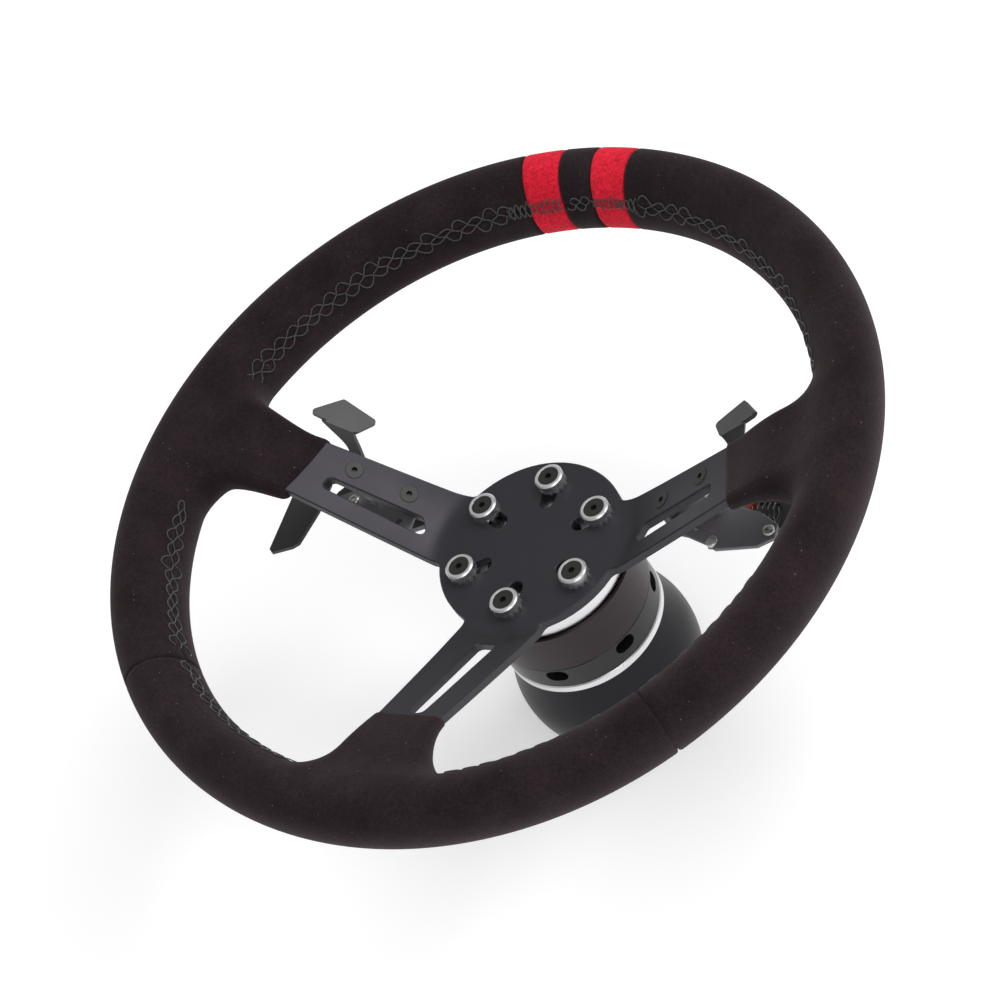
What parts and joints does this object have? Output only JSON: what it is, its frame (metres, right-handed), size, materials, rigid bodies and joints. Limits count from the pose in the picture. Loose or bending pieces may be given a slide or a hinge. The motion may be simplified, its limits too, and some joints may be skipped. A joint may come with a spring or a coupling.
{
  "type": "quick release steering wheel",
  "caption": "Round deep-dish steering wheel with a suede grip, slotted spokes, rear shift paddles and a sliding-collar quick release on a tapered column boss.",
  "frame": {"origin": "centre of the column boss's rear face, on the column axis", "axes": "+Z along the column towards the driver, +Y towards the marker bands at twelve o'clock, +X to the driver's right"},
  "size_m": [0.3801, 0.3801, 0.1955],
  "materials": {
    "frame_black": "satin black anodised",
    "suede_black": "napped suede",
    "suede_red": "napped suede",
    "foam": "moulded foam",
    "silver": "bright turned",
    "washer_silver": "bright turned",
    "screw_black": "black oxide",
    "steel": "zinc plated",
    "spring_steel": "oiled",
    "collar_brown": "satin brown black anodised",
    "band_black": "satin black anodised",
    "boss_black": "satin powder coat",
    "paddle_black": "satin powder coat",
    "housing_black": "satin powder coat",
    "plastic_black": "moulded",
    "plastic_red": "moulded",
    "bearing_steel": "polished"
  },
  "bodies": {
    "column": {"column_boss": "boss_black", "column_insert": "steel", "column_spigot": "silver", "spigot_screws": "screw_black"},
    "collar": {"release_collar": "collar_brown"},
    "ball_1": {"locking_ball_1": "bearing_steel"},
    "ball_2": {"locking_ball_2": "bearing_steel"},
    "ball_3": {"locking_ball_3": "bearing_steel"},
    "ball_4": {"locking_ball_4": "bearing_steel"},
    "ball_5": {"locking_ball_5": "bearing_steel"},
    "ball_6": {"locking_ball_6": "bearing_steel"},
    "paddle_right": {"paddle_right": "paddle_black"},
    "plunger_right": {"switch_plunger_right": "plastic_red"},
    "paddle_left": {"paddle_left": "paddle_black"},
    "plunger_left": {"switch_plunger_left": "plastic_red"},
    "wheel": {"adapter_flange": "silver", "collar_spring": "spring_steel", "cover_screws_left": "steel", "cover_screws_right": "steel", "cup_washers": "washer_silver", "grip_left": "suede_black", "grip_lower": "suede_black", "grip_right": "suede_black", "grip_top": "suede_black", "hub_screws": "screw_black", "lobe_bottom": "suede_black", "lobe_left": "suede_black", "lobe_right": "suede_black", "marker_band_left": "suede_red", "marker_band_right": "suede_red", "microswitch_left": "plastic_black", "microswitch_right": "plastic_black", "pivot_pin_left": "steel", "pivot_pin_right": "steel", "return_spring_left": "spring_steel", "return_spring_right": "spring_steel", "rim_foam": "foam", "shifter_base_left": "housing_black", "shifter_base_right": "housing_black", "shifter_cover_left": "housing_black", "shifter_cover_right": "housing_black", "spoke_frame": "frame_black", "spoke_screws_left": "screw_black", "spoke_screws_right": "screw_black", "spoke_standoff_left": "silver", "spoke_standoff_right": "silver", "spring_seat_left": "plastic_red", "spring_seat_right": "plastic_red", "window_ring": "band_black"}
  },
  "joints": [
    {"name": "wheel_pull_off", "type": "slide", "parent": "column", "child": "wheel", "axis": [0, 0, 1], "range_m": [0, 0.045]},
    {"name": "collar_slide", "type": "slide", "parent": "wheel", "child": "collar", "axis": [0, 0, 1], "range_m": [0, 0.005], "stiffness_N_per_m": 1500, "springref_m": -0.006, "deforming": ["collar_spring"]},
    {"name": "ball_1_slide", "type": "slide", "parent": "wheel", "child": "ball_1", "axis": [1, 0, 0], "range_m": [0, 0.0014]},
    {"name": "ball_2_slide", "type": "slide", "parent": "wheel", "child": "ball_2", "axis": [0.5, 0.866, 0], "range_m": [0, 0.0014]},
    {"name": "ball_3_slide", "type": "slide", "parent": "wheel", "child": "ball_3", "axis": [-0.5, 0.866, 0], "range_m": [0, 0.0014]},
    {"name": "ball_4_slide", "type": "slide", "parent": "wheel", "child": "ball_4", "axis": [-1, 0, 0], "range_m": [0, 0.0014]},
    {"name": "ball_5_slide", "type": "slide", "parent": "wheel", "child": "ball_5", "axis": [-0.5, -0.866, 0], "range_m": [0, 0.0014]},
    {"name": "ball_6_slide", "type": "slide", "parent": "wheel", "child": "ball_6", "axis": [0.5, -0.866, 0], "range_m": [0, 0.0014]},
    {"name": "paddle_right_hinge", "type": "hinge", "parent": "wheel", "child": "paddle_right", "pos_m": [0.098, 0.011, 0.116], "axis": [0, -1, 0], "range_deg": [0, 6], "stiffness_Nm_per_rad": 0.6, "springref_deg": -8.59},
    {"name": "plunger_right_slide", "type": "slide", "parent": "wheel", "child": "plunger_right", "axis": [0, 0, -1], "range_m": [0, 0.0007]},
    {"name": "paddle_left_hinge", "type": "hinge", "parent": "wheel", "child": "paddle_left", "pos_m": [-0.098, 0.02, 0.116], "axis": [0, 1, 0], "range_deg": [0, 6], "stiffness_Nm_per_rad": 0.6, "springref_deg": -8.59},
    {"name": "plunger_left_slide", "type": "slide", "parent": "wheel", "child": "plunger_left", "axis": [0, 0, -1], "range_m": [0, 0.0007]}
  ],
  "couplings": [
    {"joint": "ball_1_slide", "follows": "collar_slide", "ratio": 0.28},
    {"joint": "ball_2_slide", "follows": "collar_slide", "ratio": 0.28},
    {"joint": "ball_3_slide", "follows": "collar_slide", "ratio": 0.28},
    {"joint": "ball_4_slide", "follows": "collar_slide", "ratio": 0.28},
    {"joint": "ball_5_slide", "follows": "collar_slide", "ratio": 0.28},
    {"joint": "ball_6_slide", "follows": "collar_slide", "ratio": 0.28},
    {"joint": "plunger_right_slide", "follows": "paddle_right_hinge", "m_per_rad": 0.006},
    {"joint": "plunger_left_slide", "follows": "paddle_left_hinge", "m_per_rad": 0.006}
  ]
}
